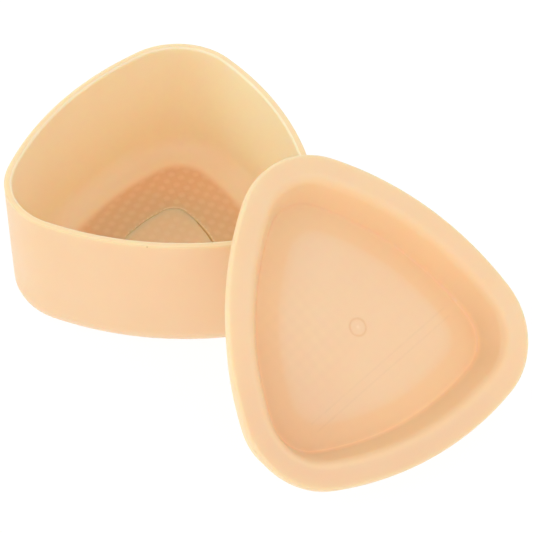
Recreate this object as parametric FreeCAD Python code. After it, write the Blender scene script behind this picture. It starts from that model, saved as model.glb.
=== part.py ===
import FreeCAD, Part
import math
import os

# Rounded-triangle rice mould: a deep tub with a push-out flap in its floor and
# a press lid that leans on the tub's rim. Millimetres, +Z up. The origin is the
# centre of the tub's underside, and one corner of the tub points along +Y.

# ---------------------------------------------------------------- outline
CORNER_DIST = 24.0        # centre of the triangle to each corner arc's centre
CORNER_R = 17.8           # corner arc of the tub's outer rim
SIDE_R = 82.0             # bowed side arc of the tub's outer rim

# ---------------------------------------------------------------- tub
TUB_H = 37.1              # height to the rim
WALL = 1.95               # wall at the rim
FLOOR_T = 2.0             # floor
TUB_DRAFT = 1.35          # degrees, outside and inside
FOOT_R = 6.8              # outer edge between wall and underside
BOWL_R = 6.0              # inner edge between wall and floor
RIM_R_OUT = 0.35
RIM_R_IN = 0.55

# ---------------------------------------------------------------- push-out flap
FLAP_CORNER_DIST = 11.9   # the slit is a smaller rounded triangle about the centre
FLAP_CORNER_R = 4.35
FLAP_SIDE_R = 33.9
SLIT_W = 0.5              # slit between flap and floor
HINGE_Y = -9.0            # front edge of the opening, where the web bends
WEB_LEN = 0.8             # length of the thin web
WEB_T = 0.45              # thickness of the web, at the floor's upper face
WEB_HALF_W = 8.5          # half the web's width
WEB_GAP = 0.02

# ---------------------------------------------------------------- press lid
FLANGE_OVER = 2.25        # flange stands out past the tub's outer wall
FLANGE_T = 2.3
FLANGE_R_TOP = 0.85
FLANGE_R_LOW = 0.6
PLUG_GAP = 0.30           # plug to the tub's inner wall, all round
PLUG_DEPTH = 13.6         # below the flange's upper face
PLUG_DRAFT = 1.35
PLUG_EDGE_R = 0.5
DISH_DEPTH = 7.9          # recess in the lid's upper face
DISH_BASE_IN = 10.25      # flange edge to the foot of the recess wall
DISH_SLOPE = 25.0         # recess wall from the lid's axis, degrees
DISH_SHOULDER_R = 3.0
DISH_FOOT_R = 0.9
PLATE_T = 2.0             # pressing plate
SKIRT_LIP = 1.3           # flat lip at the bottom of the plug
HOLLOW_SLOPE = 38.0       # side of the hollow under the pressing plate
HOLLOW_R = 4.2

# ---------------------------------------------------------------- lid, leaning
LID_C = (53.418, -45.956, 29.120)    # centre of the flange's upper face
LID_Z = (0.42222, -0.42106, 0.80277)  # the lid's own axis, out of its upper face
LID_X = (-0.82578, 0.18664, 0.53222)  # turns the lid about that axis


def vec(x, y, z=0.0):
    return FreeCAD.Vector(x, y, z)


def tri_wire(c, rc, rs, off, z):
    """Closed wire of three corner arcs and three bowed side arcs, tangent to
    each other. off moves the whole outline outwards (negative: inwards)."""
    d = rs - rc
    a = c * math.sin(math.radians(60.0))
    half = math.degrees(math.asin(a / d))
    h = math.sqrt(d * d - a * a)
    dirs = (90.0, 210.0, 330.0)
    cen = [vec(c * math.cos(math.radians(t)), c * math.sin(math.radians(t)), z)
           for t in dirs]

    def arc(p, r, t0, t1):
        pts = [vec(p.x + r * math.cos(math.radians(t)),
                   p.y + r * math.sin(math.radians(t)), z)
               for t in (t0, 0.5 * (t0 + t1), t1)]
        return Part.Arc(*pts).toShape()

    edges = []
    for k, t in enumerate(dirs):
        edges.append(arc(cen[k], rc + off, t - 60.0 + half, t + 60.0 - half))
        m = math.radians(t + 60.0)
        mid = (cen[k] + cen[(k + 1) % 3]) * 0.5
        s = vec(mid.x - h * math.cos(m), mid.y - h * math.sin(m), z)
        edges.append(arc(s, rs + off, t + 60.0 - half, t + 60.0 + half))
    return Part.Wire(Part.__sortEdges__(edges))


def rim(off, z):
    return tri_wire(CORNER_DIST, CORNER_R, SIDE_R, off, z)


def slit(off, z):
    return tri_wire(FLAP_CORNER_DIST, FLAP_CORNER_R, FLAP_SIDE_R, off, z)


def between(w0, w1):
    return Part.makeLoft([w0, w1], True, True)


def edges_at(shape, z, tol=1e-3):
    out = []
    for e in shape.Edges:
        b = e.BoundBox
        if abs(b.ZMin - z) < tol and abs(b.ZMax - z) < tol:
            out.append(e)
    return out


def outer_edges_at(shape, z, inner, r_split):
    """Edges in plane z, outside (or inside) the loop at offset r_split."""
    keep = []
    probe = Part.Face(rim(r_split, z))
    for e in edges_at(shape, z):
        m = e.valueAt(0.5 * (e.FirstParameter + e.LastParameter))
        inside = probe.isInside(m, 1e-4, True)
        if inside == inner:
            keep.append(e)
    return keep


def checked(name, s):
    if s.ShapeType != "Solid":
        if len(s.Solids) != 1:
            raise RuntimeError("%s has %d solids" % (name, len(s.Solids)))
        s = s.Solids[0]
    if not s.isValid():
        raise RuntimeError(name + " is not valid")
    return s


def make_tub():
    t = math.tan(math.radians(TUB_DRAFT))
    body = between(rim(-TUB_H * t, 0.0), rim(0.0, TUB_H))
    body = body.makeFillet(FOOT_R, edges_at(body, 0.0))
    top = TUB_H + 1.0
    cav = between(rim(-WALL - (TUB_H - FLOOR_T) * t, FLOOR_T), rim(-WALL + 1.0 * t, top))
    cav = cav.makeFillet(BOWL_R, edges_at(cav, FLOOR_T))
    body = body.cut(cav)
    body = checked("tub", body)
    e_in = outer_edges_at(body, TUB_H, True, -0.5 * WALL)
    body = body.makeFillet(RIM_R_IN, e_in)
    e_out = outer_edges_at(body, TUB_H, False, -0.5 * WALL)
    body = body.makeFillet(RIM_R_OUT, e_out)
    hole = between(slit(0.0, -1.0), slit(0.0, FLOOR_T + 1.0))
    front = Part.makeBox(60.0, 60.0, 20.0, vec(-30.0, HINGE_Y - 60.0, -5.0))
    hole = hole.cut(front)
    return checked("tub", body.cut(hole))


def make_flap():
    leaf = between(slit(-SLIT_W, 0.0), slit(-SLIT_W, FLOOR_T))
    y1 = HINGE_Y + WEB_LEN
    front = Part.makeBox(60.0, 60.0, 20.0, vec(-30.0, y1 - 60.0, -5.0))
    leaf = leaf.cut(front)
    web = Part.makeBox(2.0 * WEB_HALF_W, WEB_LEN - WEB_GAP + 0.5, WEB_T,
                       vec(-WEB_HALF_W, HINGE_Y + WEB_GAP, FLOOR_T - WEB_T))
    return checked("flap", leaf.fuse(web).removeSplitter())


def make_lid():
    fo = FLANGE_OVER
    td = math.tan(math.radians(PLUG_DRAFT))
    flange = between(rim(fo, -FLANGE_T), rim(fo, 0.0))
    flange = flange.makeFillet(FLANGE_R_TOP, edges_at(flange, 0.0))
    flange = flange.makeFillet(FLANGE_R_LOW, edges_at(flange, -FLANGE_T))
    po = -WALL - PLUG_GAP
    plug = between(rim(po - (PLUG_DEPTH - FLANGE_T) * td, -PLUG_DEPTH), rim(po + td, -FLANGE_T + 1.0))
    plug = plug.makeFillet(PLUG_EDGE_R, edges_at(plug, -PLUG_DEPTH))
    body = flange.fuse(plug)
    ts = math.tan(math.radians(DISH_SLOPE))
    base = fo - DISH_BASE_IN
    dish = between(rim(base, -DISH_DEPTH), rim(base + (DISH_DEPTH + 4.0) * ts, 4.0))
    dish = dish.makeFillet(DISH_FOOT_R, edges_at(dish, -DISH_DEPTH))
    body = body.cut(dish)
    zp = -DISH_DEPTH - PLATE_T
    th = math.tan(math.radians(HOLLOW_SLOPE))
    lip = po - (PLUG_DEPTH - FLANGE_T) * td - SKIRT_LIP
    zl = -PLUG_DEPTH - 1.0
    hollow = between(rim(lip - (zp + PLUG_DEPTH) * th, zp), rim(lip + 1.0 * th, zl))
    hollow = hollow.makeFillet(HOLLOW_R, edges_at(hollow, zp))
    body = body.cut(hollow)
    body = checked("lid", body)
    e = outer_edges_at(body, 0.0, True, 0.0)
    body = body.makeFillet(DISH_SHOULDER_R, e)
    return checked("lid", body)


def lean(shape):
    turn = FreeCAD.Rotation(vec(*LID_X), vec(0, 0, 0), vec(*LID_Z), "ZXY")
    out = shape.copy()
    out.Placement = FreeCAD.Placement(vec(*LID_C), turn)
    return out


def build():
    return {
        "mould_tub": make_tub(),
        "push_out_flap": make_flap(),
        "press_lid": lean(make_lid()),
    }


if __name__ == "__main__":
    os.makedirs("parts", exist_ok=True)
    for name, shape in build().items():
        shape = checked(name, shape)
        shape.exportStep("parts/%s.step" % name)
        b = shape.BoundBox
        print("%-14s volume %9.1f mm3  x %.2f..%.2f  y %.2f..%.2f  z %.2f..%.2f" % (
            name, shape.Volume, b.XMin, b.XMax, b.YMin, b.YMax, b.ZMin, b.ZMax))
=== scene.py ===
import bpy
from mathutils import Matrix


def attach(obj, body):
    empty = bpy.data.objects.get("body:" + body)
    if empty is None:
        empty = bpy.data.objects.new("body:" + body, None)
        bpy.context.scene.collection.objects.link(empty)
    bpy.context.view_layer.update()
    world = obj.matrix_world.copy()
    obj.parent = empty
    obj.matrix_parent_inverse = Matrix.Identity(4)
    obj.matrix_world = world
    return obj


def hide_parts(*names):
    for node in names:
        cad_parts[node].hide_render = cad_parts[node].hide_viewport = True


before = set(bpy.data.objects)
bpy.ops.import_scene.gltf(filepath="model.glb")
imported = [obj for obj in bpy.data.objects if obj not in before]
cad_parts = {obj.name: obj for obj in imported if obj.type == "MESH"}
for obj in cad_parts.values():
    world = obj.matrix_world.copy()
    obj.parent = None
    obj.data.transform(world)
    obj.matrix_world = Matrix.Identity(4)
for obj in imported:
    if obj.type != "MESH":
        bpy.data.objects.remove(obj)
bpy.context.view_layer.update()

import bpy
import math
import numpy as np
from mathutils import Matrix, Vector

MM = 0.001

# ------------------------------------------------------------------ dimensions (mm)
CORNER_DIST, CORNER_R, SIDE_R = 24.0, 17.8, 82.0
TUB_H, WALL, FLOOR_T, DRAFT = 37.1, 1.95, 2.0, 1.35
FOOT_R, BOWL_R, RIM_R_OUT, RIM_R_IN = 6.8, 6.0, 0.35, 0.55
FLAP_CORNER_DIST, FLAP_CORNER_R, FLAP_SIDE_R = 11.9, 4.35, 33.9
SLIT_W, HINGE_Y, WEB_LEN, WEB_T, WEB_HALF_W, WEB_GAP = 0.5, -9.0, 0.8, 0.45, 8.5, 0.02
FLANGE_OVER, FLANGE_T, FLANGE_R_TOP, FLANGE_R_LOW = 2.25, 2.3, 0.85, 0.6
PLUG_GAP, PLUG_DEPTH, PLUG_DRAFT, PLUG_EDGE_R = 0.30, 13.6, 1.35, 0.5
DISH_DEPTH, DISH_BASE_IN, DISH_SLOPE, DISH_SHOULDER_R, DISH_FOOT_R = 7.9, 10.25, 25.0, 3.0, 0.9
PLATE_T, SKIRT_LIP, HOLLOW_SLOPE, HOLLOW_R = 2.0, 1.3, 38.0, 4.2
LID_C = np.array((53.418, -45.956, 29.120))
LID_Z = np.array((0.42222, -0.42106, 0.80277))
LID_X = np.array((-0.82578, 0.18664, 0.53222))
LID_Z = LID_Z / np.linalg.norm(LID_Z)
LID_X = LID_X - LID_Z * (LID_X @ LID_Z)
LID_X = LID_X / np.linalg.norm(LID_X)
LID_Y = np.cross(LID_Z, LID_X)

# embossed lattice: pitch, angle and one lattice point, in the tub's plan and in the lid's own plan
LATTICE = 2.92
TUB_ANGLE, TUB_POINT = math.radians(-19.5), (-0.355, 0.089)
LID_ANGLE, LID_POINT = math.radians(-16.5), (-1.09, 0.83)
GATE = np.array((-0.75, -1.75))     # gate mark on the lid's plate

N_CORNER, N_SIDE = 64, 50          # points on each corner arc and each side arc


# ------------------------------------------------------------------ outlines
def triangle(c, rc, rs, off):
    """Rounded triangle: three corner arcs and three bowed side arcs, as an array of points."""
    d = rs - rc
    a = c * math.sin(math.radians(60.0))
    half = math.asin(a / d)
    h = math.sqrt(d * d - a * a)
    dirs = [math.radians(t) for t in (90.0, 210.0, 330.0)]
    cen = [np.array((c * math.cos(t), c * math.sin(t))) for t in dirs]
    out = []
    for k, t in enumerate(dirs):
        lo, hi = t - math.radians(60.0) + half, t + math.radians(60.0) - half
        for q in np.linspace(lo, hi, N_CORNER, endpoint=False):
            out.append(cen[k] + (rc + off) * np.array((math.cos(q), math.sin(q))))
        m = t + math.radians(60.0)
        mid = 0.5 * (cen[k] + cen[(k + 1) % 3])
        s = mid - h * np.array((math.cos(m), math.sin(m)))
        for q in np.linspace(m - half, m + half, N_SIDE, endpoint=False):
            out.append(s + (rs + off) * np.array((math.cos(q), math.sin(q))))
    return np.array(out)


def ease(t):
    t = np.clip(t, 0.0, 1.0)
    return t * t * (3 - 2 * t)


def rim(off):
    return triangle(CORNER_DIST, CORNER_R, SIDE_R, off)


def slit(off, front):
    """The opening's outline, moved outwards by off, cut straight at the front."""
    p = triangle(FLAP_CORNER_DIST, FLAP_CORNER_R, FLAP_SIDE_R, off)
    p[:, 1] = np.maximum(p[:, 1], front)
    return p


def leaf_edge(inset, under=False):
    """The flap's outline. The moulded slit is a hair's breadth wide, and it gapes along the right side."""
    p = triangle(FLAP_CORNER_DIST, FLAP_CORNER_R, FLAP_SIDE_R, 0.0)
    out = triangle(FLAP_CORNER_DIST, FLAP_CORNER_R, FLAP_SIDE_R, 1.0) - p
    a = np.degrees(np.arctan2(p[:, 1], p[:, 0]))
    wide = 0.75 * ease((a - 20.0) / 8.0) * ease((66.0 - a) / 8.0)
    w = 0.008 + (SLIT_W - 0.008) * np.maximum(wide, ease((-6.5 - p[:, 1]) / 1.5))
    if under:
        w = np.full(len(p), SLIT_W)      # undercut below its upper edge, so that it can swing up
    p = p - out * (w + inset)[:, None]
    p[:, 1] = np.maximum(p[:, 1], HINGE_Y + WEB_LEN)
    return p


def level(p, z):
    return np.column_stack((p, np.full(len(p), z)))


def rounded(points, step=9.0):
    """A path of (offset, z, radius) corners as a list of (offset, z), with each corner rounded to its radius."""
    out = []
    for i, (x, z, r) in enumerate(points):
        p = np.array((x, z), float)
        if r <= 0 or i in (0, len(points) - 1):
            out.append(tuple(p))
            continue
        a = np.array(points[i - 1][:2], float) - p
        b = np.array(points[i + 1][:2], float) - p
        a, b = a / np.linalg.norm(a), b / np.linalg.norm(b)
        turn = math.acos(max(-1.0, min(1.0, float(a @ b))))
        cut = r / math.tan(turn / 2)
        mid = a + b
        mid = mid / np.linalg.norm(mid)
        centre = p + mid * (r / math.sin(turn / 2))
        v0, v1 = p + a * cut - centre, p + b * cut - centre
        t0, t1 = math.atan2(v0[1], v0[0]), math.atan2(v1[1], v1[0])
        dt = (t1 - t0 + math.pi) % (2 * math.pi) - math.pi
        n = max(3, int(abs(math.degrees(dt)) / step) + 1)
        for q in np.linspace(0.0, 1.0, n + 1):
            t = t0 + dt * q
            out.append((centre[0] + r * math.cos(t), centre[1] + r * math.sin(t)))
    return out


def spread(path, longest):
    """Adds points so that no run is longer than longest."""
    out = [path[0]]
    for a, b in zip(path, path[1:]):
        n = max(1, int(math.ceil(math.hypot(b[0] - a[0], b[1] - a[1]) / longest)))
        for k in range(1, n + 1):
            out.append((a[0] + (b[0] - a[0]) * k / n, a[1] + (b[1] - a[1]) * k / n))
    return out


# ------------------------------------------------------------------ embossing
def bumps(x, y, angle, point):
    """Height from 0 to 1 of the pillow-shaped bumps of a square lattice."""
    c, s = math.cos(angle), math.sin(angle)
    dx, dy = x - point[0], y - point[1]
    u, v = (dx * c + dy * s) / LATTICE, (-dx * s + dy * c) / LATTICE
    u, v = u - np.round(u), v - np.round(v)
    r = np.sqrt(u * u + v * v + 2.2 * u * u * v * v * 4.0)
    t = np.clip(1.0 - (r / 0.46) ** 2, 0.0, 1.0)
    return t * t * (3 - 2 * t)


def away_from(points, loop):
    """Distance from each point to the nearest point of a loop."""
    best = np.full(len(points), 1e9)
    for k in range(0, len(loop), 3):
        best = np.minimum(best, np.hypot(points[:, 0] - loop[k, 0], points[:, 1] - loop[k, 1]))
    return best


# ------------------------------------------------------------------ meshes
def skin(name, rings, closed=False, caps=(False, False)):
    """A mesh of quads between rings of equal length. A cap closes an end ring with a fan to its middle."""
    n = len(rings[0])
    verts = np.concatenate(rings)
    faces = []
    count = len(rings)
    for k in range(count if closed else count - 1):
        a, b = k * n, ((k + 1) % count) * n
        for i in range(n):
            j = (i + 1) % n
            faces.append((a + i, a + j, b + j, b + i))
    extra = []
    for end, cap in ((0, caps[0]), (count - 1, caps[1])):
        if not cap:
            continue
        extra.append(rings[end].mean(0))
        mid = len(verts) + len(extra) - 1
        for i in range(n):
            j = (i + 1) % n
            face = (mid, end * n + j, end * n + i)
            faces.append(face if end == 0 else face[::-1])
    if extra:
        verts = np.concatenate((verts, np.array(extra)))
    return verts, faces


def piece(name, parts, material):
    """One object from several (verts, faces), in metres, smooth-shaded, with its normals outwards."""
    import bmesh
    bm = bmesh.new()
    layer = bm.verts.layers.float.new("shade")
    layer2 = bm.verts.layers.float.new("dim")
    for verts, faces, shade in parts:
        made = [bm.verts.new(v) for v in verts * MM]
        for v, value, value2 in zip(made, shade[0], shade[1]):
            v[layer] = float(value)
            v[layer2] = float(value2)
        for f in faces:
            try:
                bm.faces.new([made[i] for i in f])
            except ValueError:
                pass
    bmesh.ops.remove_doubles(bm, verts=bm.verts, dist=2e-6)
    bmesh.ops.dissolve_degenerate(bm, dist=1e-6, edges=bm.edges)
    bmesh.ops.recalc_face_normals(bm, faces=bm.faces)
    for f in bm.faces:
        f.smooth = True
    for e in bm.edges:
        if len(e.link_faces) == 2 and e.calc_face_angle(0.0) > math.radians(50):
            e.smooth = False
    mesh = bpy.data.meshes.new(name)
    bm.to_mesh(mesh)
    bm.free()
    mesh.materials.append(material)
    obj = bpy.data.objects.new(name, mesh)
    bpy.context.scene.collection.objects.link(obj)
    return obj


# ------------------------------------------------------------------ materials
def nodes_of(mat):
    mat.use_nodes = True
    nt = mat.node_tree
    nt.nodes.clear()
    return nt


def add(nt, kind, **props):
    n = nt.nodes.new(kind)
    for k, v in props.items():
        setattr(n, k, v)
    return n


def wire(nt, a, b):
    nt.links.new(a, b)


def math_node(nt, op, a, b=None):
    n = add(nt, "ShaderNodeMath", operation=op)
    for i, v in enumerate((a, b)):
        if v is None:
            continue
        if isinstance(v, (int, float)):
            n.inputs[i].default_value = v
        else:
            wire(nt, v, n.inputs[i])
    return n.outputs[0]


def dot_node(nt, vec, axis):
    n = add(nt, "ShaderNodeVectorMath", operation="DOT_PRODUCT")
    wire(nt, vec, n.inputs[0])
    n.inputs[1].default_value = axis
    return n.outputs["Value"]


def plastic(name, base, deep, rough=0.40, grain=0.25, tint=(0.6, 1.0, 2.2)):
    """Translucent cream plastic: soft light inside it, uneven colour from the moulding, a satin grained surface, and
    painted light and shade from the mesh's shade and dim attributes.
    """
    mat = bpy.data.materials.new(name)
    nt = nodes_of(mat)
    out = add(nt, "ShaderNodeOutputMaterial")
    bsdf = add(nt, "ShaderNodeBsdfPrincipled")
    wire(nt, bsdf.outputs[0], out.inputs[0])
    co = add(nt, "ShaderNodeTexCoord").outputs["Object"]
    # broad cloudy variation of the moulded colour
    broad = add(nt, "ShaderNodeTexNoise")
    broad.inputs["Scale"].default_value = 42.0
    broad.inputs["Detail"].default_value = 3.0
    broad.inputs["Roughness"].default_value = 0.55
    wire(nt, co, broad.inputs["Vector"])
    ramp = add(nt, "ShaderNodeMapRange")
    ramp.inputs["From Min"].default_value = 0.25
    ramp.inputs["From Max"].default_value = 0.75
    wire(nt, broad.outputs["Fac"], ramp.inputs["Value"])
    mix = add(nt, "ShaderNodeMix", data_type="RGBA")
    wire(nt, ramp.outputs[0], mix.inputs["Factor"])
    mix.inputs["A"].default_value = (*deep, 1)
    mix.inputs["B"].default_value = (*base, 1)
    colour = mix.outputs["Result"]
    # rare tiny dark specks in the plastic
    cells = add(nt, "ShaderNodeTexVoronoi", feature="F1")
    cells.inputs["Scale"].default_value = 95.0
    cells.inputs["Randomness"].default_value = 1.0
    wire(nt, co, cells.inputs["Vector"])
    dot = math_node(nt, "LESS_THAN", cells.outputs["Distance"], 0.022)
    pick = add(nt, "ShaderNodeSeparateColor")
    wire(nt, cells.outputs["Color"], pick.inputs[0])
    rare = math_node(nt, "GREATER_THAN", pick.outputs[0], 0.86)
    speck = math_node(nt, "MULTIPLY", dot, rare)
    speck = math_node(nt, "MULTIPLY", speck, 0.35)
    dark = add(nt, "ShaderNodeMix", data_type="RGBA")
    wire(nt, speck, dark.inputs["Factor"])
    wire(nt, colour, dark.inputs["A"])
    dark.inputs["B"].default_value = (0.42, 0.22, 0.10, 1)
    colour = dark.outputs["Result"]
    # painted light and shade, read from the mesh: shade makes the colour paler (painted highlight, as on the raised
    # bumps) or more orange (painted shade, as in deep places), dim makes it brighter or darker
    shade = add(nt, "ShaderNodeAttribute", attribute_name="shade")
    gain = add(nt, "ShaderNodeVectorMath", operation="MULTIPLY_ADD")
    wire(nt, shade.outputs["Fac"], gain.inputs[0])
    gain.inputs[1].default_value = tint
    gain.inputs[2].default_value = (1.0, 1.0, 1.0)
    toned = add(nt, "ShaderNodeVectorMath", operation="MULTIPLY")
    wire(nt, colour, toned.inputs[0])
    wire(nt, gain.outputs[0], toned.inputs[1])
    dim = add(nt, "ShaderNodeAttribute", attribute_name="dim")
    kept = math_node(nt, "ADD", dim.outputs["Fac"], 1.0)
    dimmed = add(nt, "ShaderNodeVectorMath", operation="SCALE")
    wire(nt, toned.outputs[0], dimmed.inputs[0])
    wire(nt, kept, dimmed.inputs["Scale"])
    colour = dimmed.outputs[0]
    # satin grain
    fine = add(nt, "ShaderNodeTexNoise")
    fine.inputs["Scale"].default_value = 1500.0
    fine.inputs["Detail"].default_value = 2.0
    wire(nt, co, fine.inputs["Vector"])
    waves = add(nt, "ShaderNodeTexNoise")
    waves.inputs["Scale"].default_value = 130.0
    waves.inputs["Detail"].default_value = 1.5
    wire(nt, co, waves.inputs["Vector"])
    high = math_node(nt, "ADD", math_node(nt, "MULTIPLY", fine.outputs["Fac"], 0.12), waves.outputs["Fac"])
    bump = add(nt, "ShaderNodeBump")
    bump.inputs["Strength"].default_value = grain
    bump.inputs["Distance"].default_value = 0.00012
    wire(nt, high, bump.inputs["Height"])
    wire(nt, bump.outputs[0], bsdf.inputs["Normal"])
    gloss = add(nt, "ShaderNodeMapRange")
    gloss.inputs["To Min"].default_value = rough - 0.05
    gloss.inputs["To Max"].default_value = rough + 0.07
    wire(nt, waves.outputs["Fac"], gloss.inputs["Value"])
    wire(nt, gloss.outputs[0], bsdf.inputs["Roughness"])
    bsdf.inputs["IOR"].default_value = 1.49
    bsdf.inputs["Subsurface Weight"].default_value = 1.0
    bsdf.inputs["Subsurface Radius"].default_value = (1.0, 0.66, 0.42)
    bsdf.inputs["Subsurface Scale"].default_value = 0.0036
    bsdf.inputs["Subsurface Anisotropy"].default_value = 0.0
    return mat, nt, bsdf, colour, co


BASE = (0.925, 0.695, 0.452)
DEEP = (0.915, 0.672, 0.425)

tub_mat, nt, bsdf, colour, co = plastic("cream_plastic_tub", BASE, DEEP)
wire(nt, colour, bsdf.inputs["Base Color"])

lid_mat, nt, bsdf, colour, co = plastic("cream_plastic_lid", BASE, DEEP, rough=0.38, tint=(0.1, 0.9, 2.6))
# the lid's own plan coordinates, in mm, for what shows through its thin plate
rel = add(nt, "ShaderNodeVectorMath", operation="SUBTRACT")
wire(nt, co, rel.inputs[0])
rel.inputs[1].default_value = tuple(LID_C * MM)
lx = math_node(nt, "MULTIPLY", dot_node(nt, rel.outputs[0], tuple(LID_X)), 1000.0)
ly = math_node(nt, "MULTIPLY", dot_node(nt, rel.outputs[0], tuple(LID_Y)), 1000.0)
lz = math_node(nt, "MULTIPLY", dot_node(nt, rel.outputs[0], tuple(LID_Z)), 1000.0)
ca, sa = math.cos(LID_ANGLE), math.sin(LID_ANGLE)


def lattice_wave(ux, uy, u0):
    t = math_node(nt, "ADD", math_node(nt, "MULTIPLY", lx, ux), math_node(nt, "MULTIPLY", ly, uy))
    t = math_node(nt, "ADD", t, u0)
    return math_node(nt, "COSINE", t)


# painted light: the lattice of bumps under the plate, as light shows it through the plate, is painted onto the colour
k = 2 * math.pi / LATTICE
w1 = lattice_wave(ca * k, sa * k, -(LID_POINT[0] * ca + LID_POINT[1] * sa) * k)
w2 = lattice_wave(-sa * k, ca * k, -(-LID_POINT[0] * sa + LID_POINT[1] * ca) * k)
grid = math_node(nt, "MULTIPLY", math_node(nt, "ADD", w1, w2), 0.5)       # -1 .. 1
# only on the plate's upper face, stronger in some places than in others
on_plate = add(nt, "ShaderNodeMapRange", interpolation_type="SMOOTHSTEP")
on_plate.inputs["From Min"].default_value = -7.3
on_plate.inputs["From Max"].default_value = -7.8
on_plate.inputs["To Min"].default_value = 0.0
on_plate.inputs["To Max"].default_value = 1.0
wire(nt, lz, on_plate.inputs["Value"])
patch = add(nt, "ShaderNodeTexNoise")
patch.inputs["Scale"].default_value = 30.0
patch.inputs["Detail"].default_value = 1.0
wire(nt, co, patch.inputs["Vector"])
ex = math_node(nt, "SUBTRACT", lx, 9.5)
ey = math_node(nt, "SUBTRACT", ly, 9.0)
far = math_node(nt, "SQRT", math_node(nt, "ADD", math_node(nt, "MULTIPLY", ex, ex), math_node(nt, "MULTIPLY", ey, ey)))
far = math_node(nt, "ADD", far, math_node(nt, "MULTIPLY", patch.outputs["Fac"], 14.0))
patchy = add(nt, "ShaderNodeMapRange", interpolation_type="SMOOTHSTEP")
patchy.inputs["From Min"].default_value = 12.0
patchy.inputs["From Max"].default_value = 24.0
patchy.inputs["To Min"].default_value = 1.0
patchy.inputs["To Max"].default_value = 0.22
wire(nt, far, patchy.inputs["Value"])
grid = math_node(nt, "MULTIPLY", math_node(nt, "MULTIPLY", grid, patchy.outputs[0]), on_plate.outputs[0])
# two fine parallel marks across the plate
p0, p1 = np.array((-3.4, 26.4)), np.array((-18.6, -19.0))
along = (p1 - p0) / np.linalg.norm(p1 - p0)
side = np.array((-along[1], along[0]))
d_side = math_node(nt, "ADD", math_node(nt, "ADD", math_node(nt, "MULTIPLY", lx, float(side[0])),
                                        math_node(nt, "MULTIPLY", ly, float(side[1]))), float(-(p0 @ side)))
d_along = math_node(nt, "ADD", math_node(nt, "ADD", math_node(nt, "MULTIPLY", lx, float(along[0])),
                                         math_node(nt, "MULTIPLY", ly, float(along[1]))), float(-(p0 @ along)))


def line_at(offset, width):
    d = math_node(nt, "ABSOLUTE", math_node(nt, "SUBTRACT", d_side, offset))
    m = add(nt, "ShaderNodeMapRange", interpolation_type="SMOOTHSTEP")
    m.inputs["From Min"].default_value = 0.0
    m.inputs["From Max"].default_value = width
    m.inputs["To Min"].default_value = 1.0
    m.inputs["To Max"].default_value = 0.0
    wire(nt, d, m.inputs["Value"])
    return m.outputs[0]


span = math_node(nt, "MULTIPLY", math_node(nt, "GREATER_THAN", d_along, 0.0),
                 math_node(nt, "LESS_THAN", d_along, float(np.linalg.norm(p1 - p0))))
lines = math_node(nt, "MAXIMUM", line_at(-1.15, 0.45), line_at(1.15, 0.45))
broken = add(nt, "ShaderNodeTexNoise")
broken.inputs["Scale"].default_value = 420.0
wire(nt, co, broken.inputs["Vector"])
lines = math_node(nt, "MULTIPLY", lines, math_node(nt, "MULTIPLY", broken.outputs["Fac"], 1.3))
lines = math_node(nt, "MULTIPLY", math_node(nt, "MULTIPLY", lines, span), on_plate.outputs[0])
tint = math_node(nt, "SUBTRACT", math_node(nt, "MULTIPLY", grid, 0.013), math_node(nt, "MULTIPLY", lines, 0.045))
factor = math_node(nt, "ADD", tint, 1.0)
scale = add(nt, "ShaderNodeVectorMath", operation="SCALE")
wire(nt, colour, scale.inputs[0])
wire(nt, factor, scale.inputs["Scale"])
wire(nt, scale.outputs[0], bsdf.inputs["Base Color"])

# ------------------------------------------------------------------ tub
t = math.tan(math.radians(DRAFT))
inner_top = -WALL
inner_low = -WALL - (TUB_H - FLOOR_T) * t
profile = rounded([
    (-14.0, 0.0, 0),
    (-TUB_H * t, 0.0, FOOT_R),
    (0.0, TUB_H, RIM_R_OUT),
    (inner_top, TUB_H, RIM_R_IN),
    (inner_low, FLOOR_T, BOWL_R),
    (-14.0, FLOOR_T, 0),
], step=6.0)[1:-1]
wall_path = spread(profile, 0.9)
rings = []
lo_edge, hi_edge = wall_path[0], wall_path[-1]
opening = slit(0.0, HINGE_Y)
foot = rim(lo_edge[0])
for s in np.linspace(0.0, 1.0, 9)[:-1]:
    rings.append(level(opening + (foot - opening) * s, 0.0))
for o, z in wall_path:
    rings.append(level(rim(o), z))
floor_edge = rim(hi_edge[0])
EDGE_R = 0.32
floor_end = slit(EDGE_R, HINGE_Y)
for s in np.linspace(0.0, 1.0, 60)[1:]:
    rings.append(level(floor_edge + (floor_end - floor_edge) * s, FLOOR_T))
# slit wall, with its upper edge rounded
for q in np.radians((25.0, 50.0, 72.0, 90.0)):
    rings.append(level(slit(EDGE_R * (1 - math.sin(q)), HINGE_Y), FLOOR_T - EDGE_R * (1 - math.cos(q))))
rings.append(level(opening, 1.2))
rings.append(level(opening, 0.5))
verts, faces = skin("tub", rings, closed=True)
# raise the bumps on the floor and over the start of the rounded edge
BUMP_H = 0.20
z = verts[:, 2]
start = (len(rings[0])) * (8 + len(wall_path) - 14)
idx = np.arange(len(verts))
up = (idx >= start) & (z < 3.6) & (z > FLOOR_T - 0.01)
near = away_from(verts[:, :2], opening)
inward = np.array([-0.5] * 8 + [(hi_edge[0] - o) / 14.0 for o, q in wall_path]
                  + list(np.linspace(0.0, 1.0, 60)[1:]) + [1.0] * 6)[idx // len(rings[0])]
fade = ease((near - 0.5) / 0.7) * ease((inward - 0.01) / 0.14)
lumps = bumps(verts[:, 0], verts[:, 1], TUB_ANGLE, TUB_POINT)
shade = np.zeros(len(verts))
dim = np.zeros(len(verts))
ring_of = idx // len(rings[0])
wall_no = ring_of - 8
on_wall = (wall_no >= 0) & (wall_no < len(wall_path))
path_z = np.array([q[1] for q in wall_path])
peak = int(np.argmax(path_z))
outer = on_wall & (wall_no < peak)
inner = on_wall & (wall_no > peak + 2)
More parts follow.
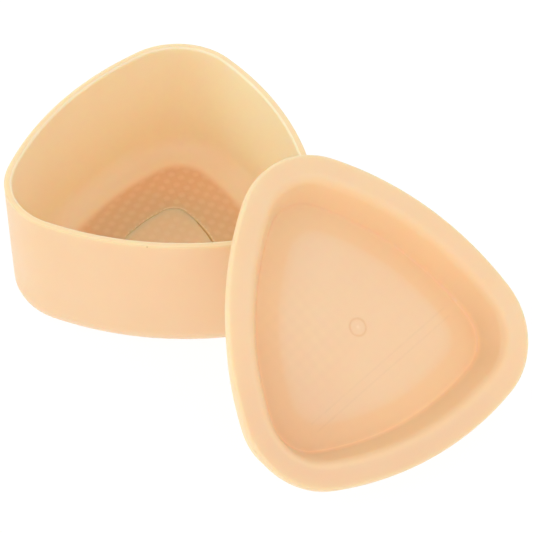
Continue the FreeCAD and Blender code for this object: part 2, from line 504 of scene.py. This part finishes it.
# painted light and shade: the outer wall a little darker and the inner wall paler
shade[outer] = -0.035
dim[outer] = -0.07
shade[inner] = 0.11
# painted highlight: the inner wall brighter towards the right and higher up, where the light from the left falls
right_side = ease((verts[:, 0] + 4.0) / 22.0)
dim[inner] = (0.07 * right_side * ease((z - 5.0) / 12.0))[inner]
# painted shade on the flat floor, darker and more orange; painted highlight on the raised bumps, paler; where the
# floor rises into its rounded edge and right next to the opening it stays as pale as the inner wall
flat = ease((inward + 0.05) / 0.20) * ease((near - 0.35) / 0.25)
shade[up] = ((0.05 * lumps - 0.02) * fade - 0.080 * flat + 0.11 * (1 - flat))[up]
dim[up] = ((0.02 * lumps - 0.01) * fade - 0.06 * flat)[up]
verts[up, 2] += (0.6 * BUMP_H * lumps * fade)[up]
# painted light in the slit's rounded groove: brighter and more orange, to offset the shade there
groove = ring_of >= len(rings) - 6
shade[groove] = -0.12
dim[groove] = 0.12
tub = piece("tub_shell", [(verts, faces, (shade, dim))], tub_mat)
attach(tub, "tub")
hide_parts("mould_tub")

# ------------------------------------------------------------------ flap
leaf = leaf_edge(0.0)
mid = np.array((0.0, 2.4))
rings = []
for s in (0.02, 0.2, 0.4, 0.6, 0.8, 0.94):
    rings.append(level(mid + (leaf - mid) * s, 0.0))
for inset, zz in ((0.15, 0.0), (0.0, 0.15), (0.0, 0.6), (0.0, 1.2)):
    rings.append(level(leaf_edge(inset, True), zz))
for q in np.radians((90.0, 72.0, 50.0, 25.0, 0.0)):
    rings.append(level(leaf_edge(EDGE_R * (1 - math.sin(q))), FLOOR_T - EDGE_R * (1 - math.cos(q))))
last = leaf_edge(EDGE_R)
for s in np.linspace(0.975, 0.02, 46):
    rings.append(level(mid + (last - mid) * s, FLOOR_T))
verts, faces = skin("flap", rings, caps=(True, True))
near = away_from(verts[:, :2], leaf)
top = verts[:, 2] > FLOOR_T - 0.01
lumps = bumps(verts[:, 0], verts[:, 1], TUB_ANGLE, TUB_POINT)
fade = ease((near - 0.9) / 1.1)
leaf_shade = np.zeros(len(verts))
# painted highlight on the raised bumps of the flap, paler
leaf_shade[top] = ((0.035 * lumps - 0.015) * fade)[top]
leaf_dim = leaf_shade * 0.2
# painted light in the flap's rounded groove edge: brighter and more orange, to offset the shade there
leaf_ring = np.arange(len(verts)) // len(rings[0])
groove = (leaf_ring >= 8) & (leaf_ring <= 13)
leaf_shade[groove] = -0.12
leaf_dim[groove] = 0.12
verts[top, 2] += (0.08 * lumps * fade)[top]
# thin web on which it bends, a plate with a slight neck
xs = np.linspace(-WEB_HALF_W, WEB_HALF_W, 41)
sec = [(HINGE_Y + WEB_GAP, 0.0), (HINGE_Y + 0.35, -0.06), (HINGE_Y + WEB_LEN + 0.05, 0.0)]
web_rings = []
for x in xs:
    loop = [(x, y, FLOOR_T + d) for y, d in sec] + [(x, y, FLOOR_T - WEB_T - d) for y, d in sec[::-1]]
    web_rings.append(np.array(loop))
web = skin("web", web_rings, caps=(True, True))
flap = piece("push_out_leaf", [(verts, faces, (leaf_shade, leaf_dim)), (*web, (np.zeros(len(web[0])), np.zeros(len(web[0]))))], tub_mat)
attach(flap, "flap")
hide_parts("push_out_flap")

# ------------------------------------------------------------------ lid
td = math.tan(math.radians(PLUG_DRAFT))
ts = math.tan(math.radians(DISH_SLOPE))
th = math.tan(math.radians(HOLLOW_SLOPE))
po = -WALL - PLUG_GAP
base = FLANGE_OVER - DISH_BASE_IN
plug_low = po - (PLUG_DEPTH - FLANGE_T) * td
lip = plug_low - SKIRT_LIP
zp = -DISH_DEPTH - PLATE_T
roof = lip - (zp + PLUG_DEPTH) * th
profile = rounded([
    (-15.0, -DISH_DEPTH, 0),
    (base, -DISH_DEPTH, DISH_FOOT_R),
    (base + DISH_DEPTH * ts, 0.0, DISH_SHOULDER_R),
    (FLANGE_OVER, 0.0, FLANGE_R_TOP),
    (FLANGE_OVER, -FLANGE_T, FLANGE_R_LOW),
    (po, -FLANGE_T, 0.25),
    (plug_low, -PLUG_DEPTH, PLUG_EDGE_R),
    (lip, -PLUG_DEPTH, 0.3),
    (roof, zp, HOLLOW_R),
    (-15.0, zp, 0),
], step=7.0)[1:-1]
path = spread(profile, 0.8)
plate_edge, roof_edge = rim(path[0][0]), rim(path[-1][0])
levels = list(np.linspace(0.004, 0.13, 30)) + list(np.linspace(0.15, 1.0, 44))[:-1]
rings = []
for s in levels:
    rings.append(level(GATE + (plate_edge - GATE) * s, -DISH_DEPTH))
for o, zz in path:
    rings.append(level(rim(o), zz))
n_under = 56
for s in np.linspace(1.0, 0.01, n_under)[1:]:
    rings.append(level(roof_edge * s, zp))
verts, faces = skin("lid", rings, caps=(True, True))
n = len(rings[0])
idx = np.arange(len(verts))
# gate mark: a fine ring groove round a low button with a nib
on_top = (np.abs(verts[:, 2] + DISH_DEPTH) < 1e-6)
r = np.hypot(verts[:, 0] - GATE[0], verts[:, 1] - GATE[1])
groove = np.exp(-((r - 2.15) / 0.26) ** 2)
nib = np.exp(-(r / 0.38) ** 2)
verts[on_top, 2] += (-0.09 * groove + 0.05 * nib + 0.03 * ease((2.0 - r) / 0.5))[on_top]
# bumps under the pressing plate
under = (np.abs(verts[:, 2] - zp) < 1e-6)
near = away_from(verts[:, :2], roof_edge)
verts[under, 2] -= (BUMP_H * bumps(verts[:, 0], verts[:, 1], LID_ANGLE, LID_POINT) * ease(near / 1.5))[under]
# painted shade round the plate's edge and up the recess wall: deeper, more orange colour
shade = np.zeros(len(verts))
counts = len(levels)
ring_no = np.minimum(idx // n, len(rings) - 1)
offs = np.full(len(rings), -60.0)
size = [np.abs(q[:, :2]).max() for q in rings]
for i, (o, zz) in enumerate(path):
    offs[counts + i] = o
base_path = path[0][0]
for i, s in enumerate(levels):
    offs[i] = base_path - (1 - s) * 24.0
off_v = offs[ring_no]
on_face = (ring_no < counts + len(path)) & (verts[:, 2] > -DISH_DEPTH - 0.2)
margin = ease((off_v + 14.3) / 1.4) * ease((-2.6 - off_v) / 2.4)
shade[on_face] = (-0.055 * margin)[on_face]
dim = np.zeros(len(verts))
# painted shade on the recess wall on the side facing away from the light, and a painted highlight along the foot of
# the wall on that side
reach = np.maximum(np.hypot(verts[:, 0], verts[:, 1]), 1.0)
facing = (-0.93 * verts[:, 0] + 0.37 * verts[:, 1]) / reach
lee = ease((facing + 0.15) / 0.9)
wall_band = ease((off_v + 7.9) / 0.6) * ease((-3.4 - off_v) / 1.2)
painted_foot_highlight = np.exp(-((off_v + 8.35) / 0.22) ** 2)
dim[on_face] = (-0.085 * lee * wall_band + 0.07 * lee * painted_foot_highlight)[on_face]
# painted shade: the flange darker on its lower side
low_side = ease((-0.58 * verts[:, 0] + 0.81 * verts[:, 1]) / reach)
dim[on_face] -= (0.07 * low_side * ease((off_v + 3.4) / 1.2))[on_face]
dim[on_face] -= (0.035 * ease((-8.2 - off_v) / 0.8))[on_face]
shade[on_face] += (0.02 * ease((-14.3 - off_v) / 1.4))[on_face]
# painted shade in the gate mark's groove and a painted highlight on its nib; painted shade darkening the plate towards
# +y
shade[on_top] += (-0.06 * groove + 0.05 * nib)[on_top]
dim[on_top] += (-0.05 * groove + 0.07 * nib - 0.05 * ease((verts[:, 1] - 4.0) / 22.0))[on_top]
world = LID_C + verts[:, :1] * LID_X + verts[:, 1:2] * LID_Y + verts[:, 2:] * LID_Z
lid = piece("lid_shell", [(world, faces, (shade, dim))], lid_mat)
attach(lid, "lid")
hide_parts("press_lid")


# ------------------------------------------------------------------ floor, light, camera
def stage_floor():
    size, cells = 2.4, 24
    xs = np.linspace(-size, size, cells + 1)
    verts = [(x, y, 0.0) for y in xs for x in xs]
    faces = []
    for j in range(cells):
        for i in range(cells):
            a = j * (cells + 1) + i
            faces.append((a, a + 1, a + cells + 2, a + cells + 1))
    mesh = bpy.data.meshes.new("floor")
    mesh.from_pydata(verts, [], faces)
    obj = bpy.data.objects.new("floor", mesh)
    bpy.context.scene.collection.objects.link(obj)
    obj.location.z = -0.00004
    mat = bpy.data.materials.new("floor_white")
    nt = nodes_of(mat)
    out = add(nt, "ShaderNodeOutputMaterial")
    bright = add(nt, "ShaderNodeEmission")
    bright.inputs["Color"].default_value = (1, 1, 1, 1)
    bright.inputs["Strength"].default_value = 0.91
    faint = add(nt, "ShaderNodeBsdfDiffuse")
    faint.inputs["Color"].default_value = (0.13, 0.13, 0.13, 1)
    both = add(nt, "ShaderNodeAddShader")
    wire(nt, bright.outputs[0], both.inputs[0])
    wire(nt, faint.outputs[0], both.inputs[1])
    painted_glow_under_tub = add(nt, "ShaderNodeEmission")
    painted_glow_under_tub.inputs["Color"].default_value = (1.0, 0.80, 0.60, 1)
    painted_glow_under_tub.inputs["Strength"].default_value = 0.50
    # painted light and shade: right below the tub the floor is a dim orange glow instead of the white floor, standing
    # in for the shade under the tub and the light that comes through the plastic
    geo = add(nt, "ShaderNodeNewGeometry")
    flat = add(nt, "ShaderNodeVectorMath", operation="MULTIPLY")
    wire(nt, geo.outputs["Position"], flat.inputs[0])
    flat.inputs[1].default_value = (1, 1, 0)
    far = add(nt, "ShaderNodeVectorMath", operation="LENGTH")
    wire(nt, flat.outputs[0], far.inputs[0])
    outside = math_node(nt, "GREATER_THAN", far.outputs["Value"], 0.022)
    mix = add(nt, "ShaderNodeMixShader")
    wire(nt, outside, mix.inputs[0])
    wire(nt, painted_glow_under_tub.outputs[0], mix.inputs[1])
    wire(nt, both.outputs[0], mix.inputs[2])
    wire(nt, mix.outputs[0], out.inputs[0])
    mesh.materials.append(mat)
    return obj


stage_floor()


def soft_light(name, where, aim, size, power, tint):
    data = bpy.data.lights.new(name, "AREA")
    data.shape = "RECTANGLE"
    data.size, data.size_y = size
    data.energy = power
    data.color = tint
    obj = bpy.data.objects.new(name, data)
    bpy.context.scene.collection.objects.link(obj)
    obj.location = where
    obj.rotation_euler = (Vector(aim) - Vector(where)).to_track_quat("-Z", "Y").to_euler()
    return obj


soft_light("key_left", (-0.85, -0.40, 0.50), (0.02, -0.02, 0.02), (0.8, 0.8), 1.0, (1.0, 0.985, 0.965))
soft_light("fill_front", (0.35, -1.0, 0.55), (0.03, -0.02, 0.02), (0.9, 0.6), 0.8, (1.0, 0.99, 0.98))

world = bpy.data.worlds.new("studio")
bpy.context.scene.world = world
world.use_nodes = True
wnt = world.node_tree
wnt.nodes.clear()
w_out = add(wnt, "ShaderNodeOutputWorld")
w_bg = add(wnt, "ShaderNodeBackground")
w_bg.inputs["Color"].default_value = (1.0, 0.995, 0.985, 1)
# a tent of light: soft at the horizon, brightest half-way up and to the left, darker overhead
w_dir = add(wnt, "ShaderNodeTexCoord").outputs["Generated"]
w_up = add(wnt, "ShaderNodeSeparateXYZ")
wire(wnt, w_dir, w_up.inputs[0])
low = add(wnt, "ShaderNodeMapRange", interpolation_type="SMOOTHSTEP")
low.inputs["From Min"].default_value = 0.05
low.inputs["From Max"].default_value = 0.62
low.inputs["To Min"].default_value = 0.50
low.inputs["To Max"].default_value = 1.42
wire(wnt, w_up.outputs["Z"], low.inputs["Value"])
top = add(wnt, "ShaderNodeMapRange", interpolation_type="SMOOTHSTEP")
top.inputs["From Min"].default_value = 0.62
top.inputs["From Max"].default_value = 0.94
top.inputs["To Min"].default_value = 1.0
top.inputs["To Max"].default_value = 0.34
wire(wnt, w_up.outputs["Z"], top.inputs["Value"])
across = math_node(wnt, "ADD", math_node(wnt, "MULTIPLY", w_up.outputs["X"], -0.12), 1.0)
level_of = math_node(wnt, "MULTIPLY", math_node(wnt, "MULTIPLY", low.outputs[0], top.outputs[0]), across)
wire(wnt, level_of, w_bg.inputs["Strength"])
wire(wnt, w_bg.outputs[0], w_out.inputs[0])

cam_data = bpy.data.cameras.new("camera")
cam = bpy.data.objects.new("camera", cam_data)
bpy.context.scene.collection.objects.link(cam)
right = Vector((0.99562517, 0.09306922, 0.00828533))
down = Vector((0.07227629, -0.71091207, -0.69955712))
ahead = Vector((-0.0592171, 0.6970955, -0.71452865))
turn = Matrix((right, -down, -ahead)).transposed()
cam.matrix_world = Matrix.Translation(Vector((66.3676, -480.2299, 491.4180)) * MM) @ turn.to_4x4()
cam_data.sensor_width = 36.0
cam_data.lens = 2659.83 * 36.0 / 533.0
cam_data.clip_start, cam_data.clip_end = 0.05, 20.0
bpy.context.scene.camera = cam

scene = bpy.context.scene
scene.view_settings.view_transform = "Standard"
scene.view_settings.look = "None"
scene.view_settings.exposure = 0.0
scene.view_settings.gamma = 1.0
